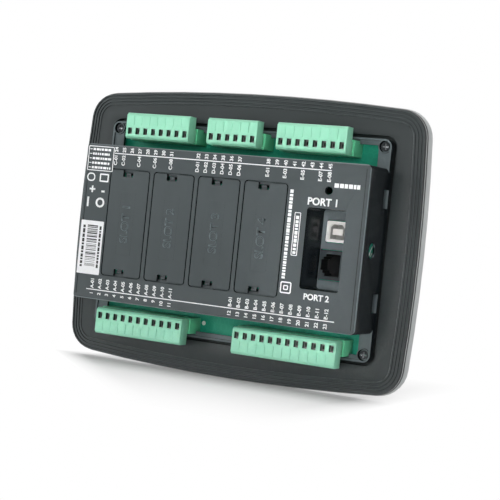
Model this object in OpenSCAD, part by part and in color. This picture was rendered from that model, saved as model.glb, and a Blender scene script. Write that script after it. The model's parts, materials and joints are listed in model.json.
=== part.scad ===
// Panel-mounted generator set controller with plug-in terminal blocks on its back.
// Everything is drawn as seen from the back: u to the right, v up, w out of the back.
// w = 0 is the front face of the panel, where the sealing lips of the gasket press.
// placed() turns that into the frame of the part: x = -u, y = w, z = v.

/* [Front bezel] */
// Width of the bezel
bezel_w = 213; // [205:1:225]
// Height of the bezel
bezel_h = 159; // [153:1:170]
// Rise of the bowed top and bottom edges
bow_top = 5; // [3:0.5:7]
// Rise of the bowed left and right edges
bow_side = 3.4; // [2.4:0.2:5]
// Corner radius of the bezel
bezel_corner_r = 16; // [14:1:22]
// Distance from the panel to the front face
bezel_front = 14; // [13.5:0.5:18]
// Radius of the rounded front edge
front_round = 7; // [4:0.5:8]
// How far the side of the bezel bulges past the mounting flange
bezel_bulge = 0.9; // [0.4:0.1:1.5]
// Thickness of the side wall
bezel_wall = 3; // [2.2:0.2:4]
// Thickness of the front wall
front_wall = 2.2; // [1.8:0.1:3]

/* [Facia and display] */
// Distance from the edge of the bezel to the facia film
facia_inset = 12; // [9:0.5:14]
// Thickness of the facia film
facia_t = 0.5; // [0.3:0.1:0.8]
// Display centre, to the right as seen from the back
display_u = 24; // [20:1:28]
// Display centre, above the middle
display_v = 22; // [20:1:24]
// Width of the visible display
view_w = 76; // [60:1:80]
// Height of the visible display
view_h = 44; // [36:1:46]
// Lap of the window pane under the film and on its ledge
pane_lap = 2; // [1.5:0.1:2.5]
// Thickness of the window pane
pane_t = 1.2; // [0.8:0.1:1.3]
// Width of the metal rim round the display glass
rim_w = 5; // [4:0.2:6]
// Sheet thickness of that rim
rim_t = 0.5; // [0.3:0.1:0.8]
// Thickness of the display glass
glass_t = 1.8; // [1.2:0.1:2.4]

/* [Keys and lights] */
// Width of the mode keys along the bottom
mode_key_w = 26; // [18:1:30]
// Height of the mode keys
mode_key_h = 13; // [10:0.5:14]
// Spacing of the mode keys
mode_pitch = 38; // [33:1:39]
// Mode keys, below the middle
mode_v = -44; // [-46:1:-42]
// Size of the four arrow keys
arrow_key = 11; // [9:0.5:12]
// Centre of the arrow keys, to the right as seen from the back
arrow_u = -51; // [-53:1:-50]
// Spacing of the arrow keys from their centre
arrow_pitch = 15; // [13:0.5:16]
// Corner radius of the keys
key_r = 2.5; // [1:0.5:4]
// How far the keys stand out of the front
key_proud = 1.2; // [1:0.1:2]
// Travel of the keys
key_travel = 0.8; // [0.4:0.1:0.9]
// Step round the crown of a key
key_step = 0.4; // [0.2:0.1:0.8]
// Lip that keeps a key behind the front wall
key_lip = 1; // [0.8:0.1:1.4]
// Side of a key switch
switch_w = 6; // [5:0.5:7]
// Radius of a status light
light_r = 1.5; // [1.2:0.1:2]
// Status lights above the mode keys
light_rise = 12; // [10:0.5:14]

/* [Mounting flange] */
// Distance from the panel to the rear edge of the bezel
flange_t = 2.4; // [2.2:0.1:3]
// Flat of the flange below the sealing lips
flange_drop = 0.3; // [0.1:0.1:0.5]
// Gap between the rear housing and the edge of the flange
moat = 1.8; // [1.4:0.1:2.6]
// Wall round that gap
collar_t = 1.6; // [1.2:0.1:2]
// Thickness of the ledge that the rear housing seats on
ledge_t = 1.5; // [1:0.1:2]

/* [Panel gasket] */
// Thickness of the gasket
gasket_t = 1.5; // [1.2:0.1:1.8]
// Number of sealing lips
lips = 4; // [2:1:4]
// Width of a lip
lip_w = 1.05; // [0.8:0.05:1.2]
// Groove between lips
lip_gap = 0.75; // [0.5:0.05:0.9]
// Height of a lip
lip_h = 0.7; // [0.4:0.1:0.9]
// Distance from the edge of the flange to the gasket
gasket_inset = 0.4; // [0.3:0.1:0.8]

/* [Rear housing] */
// Width of the rear housing
body_w = 172.6; // [171.6:0.2:175]
// Height of the rear housing
body_h = 117.8; // [117:0.2:120]
// Corner radius of the rear housing
body_r = 4.2; // [3.6:0.2:5]
// Wall of the skirt round the foot of the housing
skirt_t = 1.2; // [1:0.1:1.6]
// Height of the skirt above the panel
skirt_rise = 2.5; // [2:0.1:3.5]
// Rise of the platform above the panel
platform_rise = 27; // [26:0.5:32]
// Corner radius of the platform
platform_r = 2.6; // [1.5:0.1:4]
// Chamfer along the edges of the platform
platform_chamfer = 0.6; // [0.3:0.1:1]
// Wall of the platform
platform_wall = 2; // [1.6:0.1:2.4]
// Thickness of the roof of the platform
roof_t = 2.8; // [2.6:0.1:3.4]
// Width of the corner pads beside the terminal troughs
pad_w = 7.4; // [6.8:0.1:7.8]
// Thickness of the corner pads
pad_t = 2; // [1.6:0.1:2.6]
// Corner pads, below the edge of the skirt
pad_drop = 0.9; // [0.5:0.1:1.3]
// Width of the strip along the skirt, level with the pads
strip_w = 2.4; // [1.6:0.1:3]
// Line cut round the label field, from the edge of the platform
field_inset = 2.2; // [1.6:0.1:3]
// Width and depth of that line
field_line = 0.4; // [0.3:0.1:0.6]

/* [Case screws] */
// Distance from the side of the housing to a screw
screw_in_u = 4; // [3.9:0.1:4.4]
// Distance from the top of the housing to a screw
screw_in_v = 4; // [3.9:0.1:4.4]
// Radius of a screw head
screw_head_r = 2.3; // [2:0.1:2.6]
// Thickness of a screw head
screw_head_t = 1.9; // [1.4:0.1:2.2]
// Depth of a screw head below the edge of its boss
screw_sink = 1; // [0.5:0.1:1.4]
// Radius of a screw
screw_r = 1.4; // [1.2:0.1:1.5]
// Radius of the bosses round the screws
boss_r = 3.6; // [3.4:0.1:3.8]
// Wall of a boss round the screw head
boss_wall = 0.6; // [0.5:0.1:0.7]
// Width of the cross in a screw head
cross_w = 0.9; // [0.6:0.1:1.2]

/* [Panel clip slots and side hole] */
// Length of a slot for a panel clip
clip_l = 10; // [8:0.5:11]
// Height of a clip slot above the panel
clip_h = 6.4; // [5:0.2:7]
// Depth of a clip slot into the housing
clip_depth = 3.8; // [3.2:0.1:4]
// Thickness of the floor of a clip slot
clip_floor_t = 1.5; // [1:0.1:2]
// Clip slots, above and below the middle
clip_v = 27.4; // [25:0.2:30]
// Radius of the round hole in the side
side_hole_r = 4.1; // [3:0.1:4.5]
// Round hole in the side, above the panel
side_hole_w = 14.8; // [13:0.2:16]
// Wall round that hole, thinned from inside
side_hole_lip = 0.8; // [0.6:0.1:1.2]
// Length of the small board that stands behind the hole
side_board_l = 18; // [14:0.5:22]
// Height of that board
side_board_h = 25; // [22:0.5:26]

/* [Option slots] */
// Number of option slots
option_count = 4; // [4:1:4]
// Spacing of the option slots
option_pitch = 28.1; // [27.5:0.1:28.4]
// Centre of the first slot
option_u = -56.2; // [-57:0.1:-56]
// Option slots, above the middle
option_v = 0.5; // [-1:0.1:2]
// Width of a slot cover
cover_w = 24.8; // [23:0.1:25.4]
// Height of a slot cover
cover_h = 58.9; // [54:0.1:60]
// Thickness of a slot cover
cover_t = 1.8; // [1.2:0.1:1.9]
// Corner radius of a slot cover
cover_r = 1.5; // [1:0.1:2.5]
// Gap round a slot cover
cover_gap = 0.5; // [0.3:0.05:0.6]
// Ledge under the rim of a slot cover
cover_ledge = 1.2; // [0.8:0.1:1.6]
// Width of the latch notch
notch_w = 6.3; // [5:0.1:8]
// Depth of the latch notch
notch_d = 3.6; // [3.4:0.1:4.5]
// Latch notch from the middle of the cover
notch_u = -1.3; // [-4:0.1:4]
// Width of the latch finger in the notch
finger_w = 3.2; // [2.4:0.1:4]
// Thickness of the latch finger
finger_t = 1.2; // [0.8:0.1:1.4]
// Reach of the latch below the roof
finger_reach = 1.4; // [1.2:0.1:2.4]

/* [Ports] */
// Centre of the port well from the right side of the housing
well_in = 22.2; // [21.4:0.1:23.2]
// Port well, above the middle
well_v = -2; // [-3:0.1:-1]
// Width of the port well
well_w = 22; // [21:0.1:24]
// Height of the port well
well_h = 42.2; // [41:0.1:44]
// Floor of the well above the panel
well_floor = 5; // [3:0.2:6]
// Wall of the well
well_wall = 1.5; // [1.2:0.1:2]
// Gap round the sockets in the floor of the well
socket_gap = 0.4; // [0.2:0.1:0.6]
// How far the sockets stand out of that floor
socket_proud = 2; // [1:0.2:4]
// Width of the square data port
port_w = 12; // [11.5:0.1:12.5]
// Height of the square data port
port_h = 11.2; // [10.5:0.1:12]
// Data port from the middle of the well
port_u = -1.8; // [-2.5:0.1:-1]
// Data port above the middle of the well
port_v = 9.9; // [9:0.1:11]
// Metal of the data port shell
port_shell = 0.5; // [0.3:0.1:0.7]
// Width of the network jack
jack_w = 13.5; // [13:0.1:14]
// Height of the network jack
jack_h = 15.6; // [15:0.1:16.5]
// Network jack from the middle of the well
jack_u = -3.35; // [-3.6:0.05:-2]
// Network jack above the middle of the well
jack_v = -8; // [-9:0.1:-7.5]
// Radius of the small round hole above the well
pin_hole_r = 2.1; // [1.5:0.1:3]
// Small hole above the middle
pin_hole_v = 28.5; // [27:0.1:31]

/* [Circuit board] */
// Depth of the rear face of the board below the panel
board_depth = 3.8; // [3.4:0.1:4]
// Thickness of the board
board_t = 1.6; // [1.2:0.1:1.6]
// Gap round the board
board_gap = 0.3; // [0.2:0.1:0.4]
// Radius of the posts under the board
post_r = 2.5; // [2:0.1:3]
// Posts, in from the sides of the housing
post_in = 7.3; // [6.8:0.1:7.8]
// Posts, above and below the middle
post_v = 31; // [28:1:36]

/* [Terminals] */
// Spacing of the terminals
pitch = 5.08; // [4.9:0.01:5.1]
// Radial size of a plug
plug_h = 14.5; // [14:0.1:15.5]
// Part of a plug that stands out of its header
plug_out = 7.5; // [7:0.1:9]
// Distance from the platform to the plugs
row_gap = 5; // [4.6:0.1:5.2]
// Plug 1, in from the left side of the housing
plug_1_in = 17.3; // [16:0.1:19.5]
// Plug 2, to the right of the middle
plug_2_u = -1.45; // [-3:0.05:1]
// Plug 3, in from the right side
plug_3_in = 20; // [17:0.1:21]
// Plug 4, in from the left side
plug_4_in = 9.9; // [9.2:0.1:12]
// Plug 5, in from the right side
plug_5_in = 13.9; // [10:0.1:16]
// Chamfer along the edges of the wire face
plug_chamfer = 1.2; // [0.6:0.1:1.6]
// Width of a wire entry
wire_w = 2.6; // [2:0.1:3]
// Height of a wire entry
wire_h = 3.6; // [3:0.1:4]
// Wire entry from the inner edge of the plug
wire_in = 2.5; // [2:0.1:3]
// Depth of a wire entry
wire_d = 6.2; // [6:0.1:6.4]
// Distance from a wire entry to the head of its clamp screw
clamp_reach = 1.9; // [1.5:0.1:2.2]
// Length of that head
clamp_head = 2.2; // [1.6:0.1:2.4]
// Clamp screw, below the middle of the wire entry
clamp_drop = 0.7; // [0.4:0.1:1]
// Sheet of a wire clamp
clamp_t = 0.5; // [0.3:0.1:0.6]
// Radius of a clamp screw
clamp_screw_r = 1.7; // [1.4:0.1:1.8]
// Width and depth of the grooves between the terminals
groove = 0.3; // [0.2:0.05:0.6]
// Height of the header above the board
header_h = 12; // [11:0.1:13]
// Gap between a header and the skirt
header_out = 0.9; // [0.7:0.1:1.2]
// Radial size of a header
header_t = 8.6; // [8.4:0.1:8.8]
// Wall of a header
header_wall = 1; // [0.8:0.1:1.2]
// Floor of a header
header_floor = 2; // [1.5:0.1:3]
// Side of a square terminal pin
pin_s = 1; // [0.8:0.05:1.1]
// Length of a pin above the board
pin_rise = 9.2; // [7:0.2:10]
// Length of a pin below the board
pin_tail = 1.6; // [1:0.1:2]

/* [Parts on the board] */
// Width of a socket of an option slot
option_socket_w = 5; // [4.5:0.1:5.5]
// Length of that socket
option_socket_l = 28; // [26:0.5:30]
// Height of that socket
option_socket_h = 8.5; // [7:0.5:11]
// Spacing of its two rows of contacts
contact_pitch = 2.54; // [2.4:0.01:2.6]
// Width of an output relay
relay_w = 10; // [9:0.5:10.5]
// Length of a relay
relay_l = 20; // [18:0.5:22]
// Height of a relay
relay_h = 15.5; // [12:0.5:18]
// Relays, in from the left side of the housing
relay_in = 9.8; // [9.6:0.1:10.2]
// Spacing of the relays
relay_pitch = 23; // [22.5:0.5:24]
// Middle of the relays, above the middle
relay_v = -1.5; // [-3:0.5:0]
// Width of a current sensor
sensor_w = 11; // [10:0.5:12]
// Depth of a sensor
sensor_d = 9; // [8:0.5:10]
// Height of a sensor
sensor_h = 12; // [10:0.5:14]
// Radius of the blind hole in a sensor
sensor_hole_r = 2.2; // [1.5:0.1:3]
// Spacing of the sensors
sensor_pitch = 14; // [13:0.5:16]
// Side of the processor
processor_s = 14; // [10:0.5:15]
// Thickness of the processor
processor_t = 1.5; // [1:0.1:2]
// Processor, right of the middle
processor_u = 14; // [13:0.5:16]
// Radius of a supply capacitor
capacitor_r = 5; // [4:0.25:5.5]
// Height of a capacitor
capacitor_h = 16; // [12:0.5:20]
// Spacing of the capacitors
capacitor_pitch = 12; // [11.5:0.5:14]
// Middle capacitor, right of the middle
capacitor_u = -48; // [-50:0.5:-46]
// Radius of the clock cell
cell_r = 10; // [8:0.25:10]
// Thickness of the cell
cell_t = 3.2; // [2.5:0.1:3.4]
// Wall and floor of the cell holder
holder_wall = 0.8; // [0.6:0.1:1]
// Cell, right of the middle
cell_u = -14; // [-14.2:0.1:-13.8]
// Processor and cell, above the middle
chip_row_v = -15; // [-18:0.5:-14]
// Gap between parts on the board and the wall of the platform
part_gap = 1; // [0.5:0.1:2]

/* [Fits] */
// Gap between pieces that move past each other
fit = 0.3; // [0.2:0.05:0.4]
// Gap between pieces that are pressed or glued together
snug = 0.05; // [0.02:0.01:0.1]

/* [Hidden] */
$fn = 48;

// Terminals of each plug, its centre along the row, and its row: 1 on top, -1 below
function from_left(ways, gap) = -body_w / 2 + gap + ways * pitch / 2;
function from_right(ways, gap) = -from_left(ways, gap);
PLUGS = [[8, from_left(8, plug_1_in), 1], [6, plug_2_u, 1], [8, from_right(8, plug_3_in), 1],
         [11, from_left(11, plug_4_in), -1], [12, from_right(12, plug_5_in), -1]];

// Planes across the depth
front_w = -bezel_front;
facia_w = front_w + facia_t;
inner_w = front_w + front_wall;
flange_w = -flange_t;
board_top = -board_depth;
board_low = board_top - board_t;
seat_w = board_low + 0.6 * board_t;
ledge_w = seat_w - ledge_t;
roof_w = platform_rise - roof_t;
cover_seat = platform_rise - cover_t;
pad_top = skirt_rise - pad_drop;
header_top = board_top + header_h;
header_bed = board_top + header_floor;
plug_low = header_top + fit;
plug_top = plug_low + plug_out;
plug_foot = header_bed + 2 * fit;
wire_bed = plug_top - wire_d;
port_top = well_floor + socket_proud;
backlight_w = board_low - pin_tail - fit;
screw_seat = skirt_rise - screw_sink - screw_head_t;
screw_tip = inner_w + 1;

// Places in the plane of the panel
row_v = body_h / 2 - skirt_t - header_out - header_t + fit;
platform_h = 2 * (row_v - row_gap);
well_u = body_w / 2 - well_in;
post_u = body_w / 2 - post_in;
side_board_u = body_w / 2 - platform_wall - fit - board_t;
inner_v = platform_h / 2 - platform_wall - part_gap;
screw_u = body_w / 2 - screw_in_u;
screw_v = body_h / 2 - screw_in_v;
pin_a = header_t / 2 - fit;
screw_seat_a = wire_in + wire_h + clamp_reach;
gasket_in = bezel_bulge + gasket_inset;
gasket_w = lips * lip_w + (lips - 1) * lip_gap;
pane_w = view_w + 2 * pane_lap;
pane_h = view_h + 2 * pane_lap;
rim_out_w = view_w + 2 * rim_w;
rim_out_h = view_h + 2 * rim_w;
data_u = well_u + port_u;
data_v = well_v + port_v;
net_u = well_u + jack_u;
net_v = well_v + jack_v;

// Keys: centre, width and height
MODE_KEYS = [for (i = [0:3]) [(1.5 - i) * mode_pitch, mode_v, mode_key_w, mode_key_h]];
ARROW_STEPS = [[0, 1], [0, -1], [1, 0], [-1, 0]];
ARROW_KEYS = [for (s = ARROW_STEPS) [arrow_u + s[0] * arrow_pitch, display_v + s[1] * arrow_pitch,
                                     arrow_key, arrow_key]];
KEYS = concat(MODE_KEYS, ARROW_KEYS);
LIGHTS = [for (k = MODE_KEYS, row = [1, 2]) [k[0], mode_v + row * light_rise]];

// Bowed outline of the bezel: four shallow arcs joined by tangent corner arcs
function bow_radius(half, rise) = (half * half + rise * rise) / (2 * rise);
top_arc = bow_radius(bezel_w / 2, bow_top);
side_arc = bow_radius(bezel_h / 2, bow_side);
top_centre = [0, bezel_h / 2 - top_arc];
side_centre = [bezel_w / 2 - side_arc, 0];
function circles_meet(p, rp, q, rq) =
    let (gap = norm(q - p), along = (q - p) / gap)
    let (a = (rp * rp - rq * rq + gap * gap) / (2 * gap))
    p + a * along + sqrt(rp * rp - a * a) * [along[1], -along[0]];
corner_centre = circles_meet(top_centre, top_arc - bezel_corner_r, side_centre, side_arc - bezel_corner_r);
function angle_of(d) = atan2(d[1], d[0]);
top_turn = angle_of(corner_centre - top_centre);
side_turn = angle_of(corner_centre - side_centre);
function arc(centre, r, from, to, steps, skip) =
    [for (i = [skip:steps]) let (t = from + (to - from) * i / steps) centre + r * [cos(t), sin(t)]];
function quarter(inset) = concat(
    arc(top_centre, top_arc - inset, 90, top_turn, 4, 0),
    arc(corner_centre, bezel_corner_r - inset, top_turn, side_turn, 7, 1),
    arc(side_centre, side_arc - inset, side_turn, 0, 3, 1));
function mirrored_v(points) = [for (i = [len(points) - 2:-1:0]) [points[i][0], -points[i][1]]];
function mirrored_u(points) = [for (i = [len(points) - 2:-1:1]) [-points[i][0], points[i][1]]];
function right_half(inset) = concat(quarter(inset), mirrored_v(quarter(inset)));
function outline(inset) = concat(right_half(inset), mirrored_u(right_half(inset)));

// Rings of the bezel from its rear edge to its front face: depth and inset
ROUND_STEPS = 5;
BEZEL_RINGS = concat(
    [[flange_w, bezel_bulge], [flange_w - 1.6 * bezel_bulge, bezel_bulge / 4]],
    [for (i = [0:ROUND_STEPS]) let (t = 90 * i / ROUND_STEPS)
        [front_w + front_round * (1 - sin(t)), front_round * (1 - cos(t))]]);

KEY_NAMES = ["key_stop", "key_run", "key_auto", "key_test", "key_up", "key_down", "key_left", "key_right"];

// Turns the back view into the frame of the part
module placed() {
    rotate([90, 0, 180]) children();
}

// Flat shape made solid between two planes
module slab(from, to) {
    translate([0, 0, from]) linear_extrude(to - from) children();
}

// Section in v and w, made solid along u about the middle
module along_u(length) {
    translate([-length / 2, 0, 0]) rotate([90, 0, 90]) linear_extrude(length) children();
}

// Round bar that runs along +v from a point
module bar_v(at, r, length) {
    translate(at) rotate([-90, 0, 0]) cylinder(r = r, h = length);
}

module rounded(w, h, r) {
    square([w - 2 * r, h], center = true);
    square([w, h - 2 * r], center = true);
    four_corners(w / 2 - r, h / 2 - r) circle(r);
}

module four_corners(u, v) {
    for (side = [-1, 1], level = [-1, 1]) translate([side * u, level * v]) children();
}

module bowed(inset) {
    polygon(outline(inset));
}

module bowed_ring(from_inset, to_inset) {
    difference() {
        bowed(from_inset);
        bowed(to_inset);
    }
}

// Solid that joins bowed rings of different depth and inset
module bowed_loft(rings) {
    count = len(outline(0));
    points = [for (ring = rings) for (p = outline(ring[1])) [p[0], p[1], ring[0]]];
    last = (len(rings) - 1) * count;
    sides = [for (r = [0:len(rings) - 2], i = [0:count - 1]) let (j = (i + 1) % count)
        [r * count + i, (r + 1) * count + i, (r + 1) * count + j, r * count + j]];
    rear = [for (i = [0:count - 1]) i];
    front = [for (i = [count - 1:-1:0]) last + i];
    polyhedron(points, concat([rear], sides, [front]));
}

module at_screws() {
    four_corners(screw_u, screw_v) children();
}

// Front half
module key_opening(k) {
    translate([k[0], k[1]]) rounded(k[2] + 2 * fit, k[3] + 2 * fit, key_r + fit);
}

module light_openings() {
    for (l = LIGHTS) translate(l) circle(light_r + fit);
}

module front_bezel() {
    color("#b8bdbd") placed() difference() {
        union() {
            difference() {
                bowed_loft(BEZEL_RINGS);
                slab(front_w + front_round, 1) bowed(bezel_wall);
                slab(inner_w, front_w + front_round + 1) bowed(bezel_wall + front_round / 2);
            }
            slab(inner_w - 0.1, ledge_w) at_screws() circle(boss_r);
            slab(inner_w - 0.1, board_low) four_corners(post_u, post_v) circle(post_r);
        }
        slab(front_w - 1, facia_w) bowed(facia_inset);
        slab(front_w - 1, facia_w + pane_t) translate([display_u, display_v])
            square([pane_w + 2 * snug, pane_h + 2 * snug], center = true);
        slab(front_w - 1, inner_w + 1) {
            translate([display_u, display_v]) square([view_w, view_h], center = true);
            for (k = KEYS) key_opening(k);
            light_openings();
        }
        slab(screw_tip - fit, 1) at_screws() circle(screw_r + snug);
    }
}

module facia_film() {
    color("#20242a") placed() slab(front_w, facia_w) difference() {
        bowed(facia_inset + snug);
        translate([display_u, display_v]) square([view_w, view_h], center = true);
        for (k = KEYS) key_opening(k);
        light_openings();
    }
}

module display_pane() {
    color("#c9d4d8", 0.5) placed() slab(facia_w, facia_w + pane_t) translate([display_u, display_v])
        square([pane_w, pane_h], center = true);
}

rim_top = inner_w + fit;
glass_low = rim_top + rim_t + glass_t;

module display_rim() {
    color("#8d9295") placed() translate([display_u, display_v]) difference() {
        slab(rim_top, board_low) rounded(rim_out_w, rim_out_h, 1);
        slab(rim_top + rim_t, board_low + 1)
            square([rim_out_w - 2 * rim_t, rim_out_h - 2 * rim_t], center = true);
        slab(rim_top - 1, board_low) square([view_w, view_h], center = true);
    }
}

module display_core(from, to) {
    slab(from, to) translate([display_u, display_v])
        square([rim_out_w - 2 * rim_t - 2 * snug, rim_out_h - 2 * rim_t - 2 * snug], center = true);
}

module display_glass() {
    color("#8fa38a") placed() display_core(rim_top + rim_t, glass_low);
}

module display_backlight() {
    color("#e8e8e2") placed() display_core(glass_low, backlight_w);
}

// A key: cap with a stepped crown, a lip behind the front wall and a post that works its switch
key_lip_t = 1;
key_low = inner_w + fit + key_lip_t;
switch_top = key_low + key_travel + fit;
post_dip = 0.3;
key_post_r = 1.6;

module key(i) {
    k = KEYS[i];
    placed() translate([k[0], k[1], 0]) {
        slab(front_w - key_proud, front_w - key_proud / 2)
            rounded(k[2] - 2 * key_step, k[3] - 2 * key_step, key_r);
        slab(front_w - key_proud / 2, inner_w + fit) rounded(k[2], k[3], key_r);
        slab(inner_w + fit, key_low) rounded(k[2] + 2 * key_lip, k[3] + 2 * key_lip, key_r);
        slab(key_low, switch_top + post_dip) circle(key_post_r);
    }
}

module key_switches() {
    color("#2b2b2d") placed() for (k = KEYS) translate([k[0], k[1], 0]) difference() {
        slab(switch_top, board_low) square(switch_w, center = true);
        slab(switch_top - 1, switch_top + post_dip + key_travel + fit) circle(key_post_r + fit);
    }
}

module status_lights() {
    color("#d9dcd6") placed() for (l = LIGHTS) translate([l[0], l[1], 0]) {
        slab(front_w - fit, board_low) circle(light_r);
        slab(board_low - 1, board_low) circle(1.4 * light_r);
    }
}

// Flange, gasket and board
module body_outline(grow) {
    rounded(body_w + 2 * grow, body_h + 2 * grow, body_r + grow);
}

module ledge_outline() {
    difference() {
        body_outline(moat + collar_t);
        body_outline(-skirt_t - snug + board_gap);
    }
    at_screws() circle(boss_r);
}

module mounting_flange() {
    color("#3d4244") placed() difference() {
        union() {
            slab(flange_w, -flange_drop) difference() {
                bowed(bezel_bulge);
                body_outline(moat);
            }
            slab(ledge_w, -flange_drop) difference() {
                body_outline(moat + collar_t);
                body_outline(moat);
            }
            slab(ledge_w, seat_w) ledge_outline();
        }
        slab(-gasket_t, 1) bowed_ring(bezel_bulge - 1, gasket_in + gasket_w + snug);
        slab(ledge_w - 1, seat_w + 1) at_screws() circle(screw_r + fit);
    }
}

module panel_gasket() {
    color("#2e3234") placed() {
        slab(-gasket_t, -lip_h) bowed_ring(gasket_in, gasket_in + gasket_w);
        for (i = [0:lips - 1]) let (at = gasket_in + i * (lip_w + lip_gap))
            slab(-gasket_t, 0) bowed_ring(at, at + lip_w);
    }
}

module at_pins(p) {
    in_row(p) for (i = [0:p[0] - 1]) translate([(i - (p[0] - 1) / 2) * pitch, pin_a, 0]) children();
}

module main_board() {
    notch = boss_r + board_gap;
    color("#217a5b") placed() slab(board_low, board_top) difference() {
        square([body_w - 2 * (skirt_t + board_gap), body_h - 2 * (skirt_t + board_gap)], center = true);
        at_screws() circle(notch);
        four_corners(screw_u + body_r, screw_v) square([2 * body_r, 2 * notch], center = true);
        four_corners(screw_u, screw_v + body_r) square([2 * notch, 2 * body_r], center = true);
        for (p = PLUGS) at_pins(p) circle(pin_s * 0.75);
    }
}

// Rear housing
module option_place(i) {
    translate([option_u + i * option_pitch, option_v, 0]) children();
}

module at_options() {
    for (i = [0:option_count - 1]) option_place(i) children();
}

module platform_outline(inset) {
    rounded(body_w - 2 * inset, platform_h - 2 * inset, max(platform_r - inset, 0.6));
}

module housing_shell() {
    slab(seat_w, skirt_rise) difference() {
        body_outline(0);
        body_outline(-skirt_t);
    }
    difference() {
        slab(board_top, platform_rise) platform_outline(0);
        slab(board_top - 1, roof_w) platform_outline(platform_wall);
    }
    slab(pad_top - pad_t, pad_top) intersection() {
        body_outline(0);
        four_corners(body_w / 2 - pad_w / 2, (platform_h + body_h) / 4)
            square([pad_w, (body_h - platform_h) / 2 + platform_wall], center = true);
    }
    slab(seat_w, skirt_rise) at_screws() circle(boss_r);
    trough_strips();
    clip_floors();
}

// Strip inside the skirt of both troughs, cut back where a header stands
module trough_strips() {
    length = body_w - 2 * body_r;
    difference() {
        slab(pad_top - pad_t, pad_top) for (flip = [0, 1]) mirror([0, flip, 0])
            translate([-length / 2, body_h / 2 - skirt_t - strip_w])
                square([length, strip_w + skirt_t / 2]);
        for (p = PLUGS) in_row(p) header_block(p, fit);
    }
}

// Floor that the hook of a panel clip reaches over
module clip_floors() {
    floor_d = clip_depth - platform_wall / 2;
    for (side = [-1, 1], level = [-1, 1])
        translate([side * (body_w / 2 - clip_depth + floor_d / 2), level * clip_v, 0])
            cube([floor_d, clip_l - fit, 2 * clip_floor_t], center = true);
}

module well_outline(grow) {
    translate([well_u, well_v]) rounded(well_w + 2 * grow, well_h + 2 * grow, 1.5 + grow);
}

module port_well() {
    difference() {
        slab(well_floor - well_wall, roof_w + 1) well_outline(well_wall);
        slab(well_floor, platform_rise + 1) well_outline(0);
    }
}

module socket_openings() {
    translate([data_u, data_v]) square([port_w + 2 * socket_gap, port_h + 2 * socket_gap], center = true);
    translate([net_u, net_v]) square([jack_w + 2 * socket_gap, jack_h + 2 * socket_gap], center = true);
}

module clip_slots() {
    for (side = [-1, 1], level = [-1, 1])
        translate([side * body_w / 2, level * clip_v, clip_h / 2])
            cube([2 * clip_depth + fit, clip_l, clip_h], center = true);
}

// Hole in the right side, with its wall thinned from inside
module side_hole() {
    translate([body_w / 2, 0, side_hole_w]) rotate([0, -90, 0]) {
        translate([0, 0, -1]) cylinder(r = side_hole_r, h = 2 * platform_wall + 1);
        translate([0, 0, side_hole_lip]) cylinder(r = side_hole_r + platform_wall, h = platform_wall);
    }
}

// Wedges that break the four edges of the platform
module platform_edges() {
    wedge = platform_chamfer * sqrt(2);
    for (side = [-1, 1]) {
        translate([0, side * platform_h / 2, platform_rise]) rotate([45, 0, 0])
            cube([2 * body_w, wedge, wedge], center = true);
        translate([side * body_w / 2, 0, platform_rise]) rotate([0, 45, 0])
            cube([wedge, 2 * platform_h, wedge], center = true);
    }
}

module rear_housing() {
    color("#4c5254") placed() difference() {
        union() {
            housing_shell();
            port_well();
        }
        slab(well_floor, platform_rise + 1) well_outline(0);
        slab(well_floor - well_wall - 1, well_floor + 1) socket_openings();
        slab(cover_seat, platform_rise + 1) at_options()
            rounded(cover_w + 2 * cover_gap, cover_h + 2 * cover_gap, cover_r + cover_gap);
        slab(roof_w - 1, platform_rise) at_options()
            square([cover_w - 2 * cover_ledge, cover_h - 2 * cover_ledge], center = true);
        slab(roof_w - 1, platform_rise + 1) translate([well_u, pin_hole_v]) circle(pin_hole_r);
        slab(platform_rise - field_line, platform_rise + 1) for (side = [-1, 1])
            translate([side * (body_w / 2 - field_inset), 0])
                square([field_line, platform_h - 2 * field_inset], center = true);
        clip_slots();
        side_hole();
        platform_edges();
        slab(screw_seat, skirt_rise + 1) at_screws() circle(boss_r - boss_wall);
        slab(seat_w - 1, skirt_rise) at_screws() circle(screw_r + fit);
    }
}

module case_screws() {
    cross_l = 1.5 * screw_head_r;
    color("#2a2c2d") placed() at_screws() difference() {
        union() {
            slab(screw_seat, screw_seat + screw_head_t) circle(screw_head_r);
            slab(screw_tip, screw_seat) circle(screw_r);
        }
        slab(screw_seat + screw_head_t / 2, skirt_rise) {
            square([cross_l, cross_w], center = true);
            square([cross_w, cross_l], center = true);
        }
    }
}

// Small board that stands on the main board behind the hole in the side
module side_board() {
    color("#217a5b") placed() translate([side_board_u, -side_board_l / 2, board_top])
        cube([board_t, side_board_l, side_board_h]);
}

// Cover of an option slot: a plate on its ledge, with a sprung latch finger in a notch at each end
module finger_strip(from, to) {
    translate([notch_u - finger_w / 2, from]) square([finger_w, to - from]);
}

module option_cover(i) {
    latch_v = cover_h / 2 - cover_ledge - fit;
    root_v = cover_h / 2 - notch_d - 1;
    hook_w = roof_w - fit - finger_reach;
    color("#4c5254") placed() option_place(i) {
        slab(cover_seat, platform_rise) difference() {
            rounded(cover_w, cover_h, cover_r);
            for (level = [-1, 1]) translate([notch_u, level * (cover_h - notch_d) / 2])
                square([notch_w, notch_d + snug], center = true);
        }
        for (level = [-1, 1]) mirror([0, level < 0 ? 1 : 0, 0]) {
            slab(cover_seat, cover_seat + cover_t / 2) finger_strip(root_v, latch_v);
            slab(hook_w, cover_seat + cover_t * 0.7) finger_strip(latch_v - finger_t, latch_v);
            slab(hook_w, roof_w - fit) finger_strip(latch_v - finger_t, latch_v + fit + cover_ledge / 2);
        }
    }
}

// Terminals: header on the board, pins, plug with its clamp screws and clamps
module in_row(p) {
    mirror([0, p[2] < 0 ? 1 : 0, 0]) translate([p[1], row_v, 0]) children();
}

module at_poles(p) {
    for (i = [0:p[0] - 1]) translate([(i - (p[0] - 1) / 2) * pitch, 0, 0]) children();
}

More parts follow.
